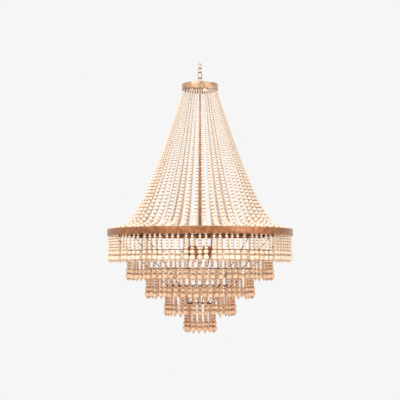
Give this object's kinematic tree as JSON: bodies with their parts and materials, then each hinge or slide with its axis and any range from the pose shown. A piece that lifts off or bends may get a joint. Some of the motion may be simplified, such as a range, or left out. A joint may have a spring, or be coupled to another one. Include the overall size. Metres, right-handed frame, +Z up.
{
  "type": "beaded chandelier",
  "caption": "Hanging light with graded wooden bead strands draped from a crown band to a wide band, over a stepped basket of bead fringes.",
  "frame": {"origin": "bearing point inside the top chain link, where a hook holds the light", "axes": "+Z up along the stem; -Y towards the viewer"},
  "size_m": [0.8636, 0.8636, 1.2617],
  "materials": {
    "chain_copper": "satin copper",
    "band_copper": "brushed antique copper",
    "frame_bronze": "dark bronze",
    "bead_pale": "whitewashed wood",
    "bead_natural": "natural wood"
  },
  "bodies": {
    "chain_top": {"chain_link_top": "chain_copper"},
    "chain_middle": {"chain_link_middle": "chain_copper"},
    "chain_lower": {"chain_link_lower": "chain_copper"},
    "chandelier": {"crown_loop": "chain_copper", "crown_band": "band_copper", "main_band": "band_copper", "stem": "band_copper", "hub_finial": "band_copper", "crown_hub": "frame_bronze", "band_spider": "frame_bronze", "tier_ring_5": "frame_bronze", "lamp_hub": "frame_bronze", "rod_1": "frame_bronze", "rod_2": "frame_bronze", "rod_3": "frame_bronze", "rod_4": "frame_bronze", "rod_5": "frame_bronze", "rod_6": "frame_bronze", "rod_7": "frame_bronze", "rod_8": "frame_bronze", "lampholder_1": "frame_bronze", "lampholder_2": "frame_bronze", "lampholder_3": "frame_bronze", "lampholder_4": "frame_bronze", "lampholder_5": "frame_bronze", "lampholder_6": "frame_bronze", "drape_arc_1": "bead_pale", "drape_arc_2": "bead_pale", "drape_arc_3": "bead_pale", "drape_arc_4": "bead_pale", "fringe_1_arc_1": "bead_pale", "fringe_1_arc_2": "bead_pale", "fringe_1_arc_3": "bead_pale", "fringe_1_arc_4": "bead_pale", "fringe_1_arc_5": "bead_pale", "fringe_2_arc_1": "bead_natural", "fringe_2_arc_2": "bead_natural", "fringe_2_arc_3": "bead_natural", "fringe_2_arc_4": "bead_natural", "fringe_3_arc_1": "bead_natural", "fringe_3_arc_2": "bead_natural", "fringe_3_arc_3": "bead_natural", "fringe_4_arc_1": "bead_natural", "fringe_4_arc_2": "bead_natural"},
    "strand_01": {"strand_01": "bead_natural"},
    "strand_02": {"strand_02": "bead_natural"},
    "strand_03": {"strand_03": "bead_natural"},
    "strand_04": {"strand_04": "bead_natural"},
    "strand_05": {"strand_05": "bead_natural"},
    "strand_06": {"strand_06": "bead_natural"},
    "strand_07": {"strand_07": "bead_natural"},
    "strand_08": {"strand_08": "bead_natural"},
    "strand_09": {"strand_09": "bead_natural"},
    "strand_10": {"strand_10": "bead_natural"},
    "strand_11": {"strand_11": "bead_natural"},
    "strand_12": {"strand_12": "bead_natural"},
    "strand_13": {"strand_13": "bead_natural"},
    "strand_14": {"strand_14": "bead_natural"},
    "strand_15": {"strand_15": "bead_natural"},
    "strand_16": {"strand_16": "bead_natural"}
  },
  "joints": [
    {"name": "middle_link_swing", "type": "hinge", "parent": "chain_top", "child": "chain_middle", "pos_m": [0, 0, -0.02175], "axis": [0.7071, 0.7071, 0], "range_deg": [-60, 60]},
    {"name": "lower_link_swing", "type": "hinge", "parent": "chain_middle", "child": "chain_lower", "pos_m": [0, 0, -0.04135], "axis": [0.7071, -0.7071, 0], "range_deg": [-60, 60]},
    {"name": "crown_swing", "type": "hinge", "parent": "chain_lower", "child": "chandelier", "pos_m": [0, 0, -0.0682], "axis": [0.7071, 0.7071, 0], "range_deg": [-45, 45]},
    {"name": "strand_01_swing", "type": "hinge", "parent": "chandelier", "child": "strand_01", "pos_m": [0.0643, 0.02245, -1.11949], "axis": [0.3297, -0.9441, 0], "range_deg": [-2, 45]},
    {"name": "strand_02_swing", "type": "hinge", "parent": "chandelier", "child": "strand_02", "pos_m": [0.05081, 0.04535, -1.11949], "axis": [0.6659, -0.7461, 0], "range_deg": [-2, 45]},
    {"name": "strand_03_swing", "type": "hinge", "parent": "chandelier", "child": "strand_03", "pos_m": [0.02959, 0.06135, -1.11949], "axis": [0.9007, -0.4344, 0], "range_deg": [-2, 45]},
    {"name": "strand_04_swing", "type": "hinge", "parent": "chandelier", "child": "strand_04", "pos_m": [0.00386, 0.068, -1.11949], "axis": [0.9984, -0.0567, 0], "range_deg": [-2, 45]},
    {"name": "strand_05_swing", "type": "hinge", "parent": "chandelier", "child": "strand_05", "pos_m": [-0.02245, 0.0643, -1.11949], "axis": [0.9441, 0.3297, 0], "range_deg": [-2, 45]},
    {"name": "strand_06_swing", "type": "hinge", "parent": "chandelier", "child": "strand_06", "pos_m": [-0.04535, 0.05081, -1.11949], "axis": [0.7461, 0.6659, 0], "range_deg": [-2, 45]},
    {"name": "strand_07_swing", "type": "hinge", "parent": "chandelier", "child": "strand_07", "pos_m": [-0.06135, 0.02959, -1.11949], "axis": [0.4344, 0.9007, 0], "range_deg": [-2, 45]},
    {"name": "strand_08_swing", "type": "hinge", "parent": "chandelier", "child": "strand_08", "pos_m": [-0.068, 0.00386, -1.11949], "axis": [0.0567, 0.9984, 0], "range_deg": [-2, 45]},
    {"name": "strand_09_swing", "type": "hinge", "parent": "chandelier", "child": "strand_09", "pos_m": [-0.0643, -0.02245, -1.11949], "axis": [-0.3297, 0.9441, 0], "range_deg": [-2, 45]},
    {"name": "strand_10_swing", "type": "hinge", "parent": "chandelier", "child": "strand_10", "pos_m": [-0.05081, -0.04535, -1.11949], "axis": [-0.6659, 0.7461, 0], "range_deg": [-2, 45]},
    {"name": "strand_11_swing", "type": "hinge", "parent": "chandelier", "child": "strand_11", "pos_m": [-0.02959, -0.06135, -1.11949], "axis": [-0.9007, 0.4344, 0], "range_deg": [-2, 45]},
    {"name": "strand_12_swing", "type": "hinge", "parent": "chandelier", "child": "strand_12", "pos_m": [-0.00386, -0.068, -1.11949], "axis": [-0.9984, 0.0567, 0], "range_deg": [-2, 45]},
    {"name": "strand_13_swing", "type": "hinge", "parent": "chandelier", "child": "strand_13", "pos_m": [0.02245, -0.0643, -1.11949], "axis": [-0.9441, -0.3297, 0], "range_deg": [-2, 45]},
    {"name": "strand_14_swing", "type": "hinge", "parent": "chandelier", "child": "strand_14", "pos_m": [0.04535, -0.05081, -1.11949], "axis": [-0.7461, -0.6659, 0], "range_deg": [-2, 45]},
    {"name": "strand_15_swing", "type": "hinge", "parent": "chandelier", "child": "strand_15", "pos_m": [0.06135, -0.02959, -1.11949], "axis": [-0.4344, -0.9007, 0], "range_deg": [-2, 45]},
    {"name": "strand_16_swing", "type": "hinge", "parent": "chandelier", "child": "strand_16", "pos_m": [0.068, -0.00386, -1.11949], "axis": [-0.0567, -0.9984, 0], "range_deg": [-2, 45]}
  ]
}
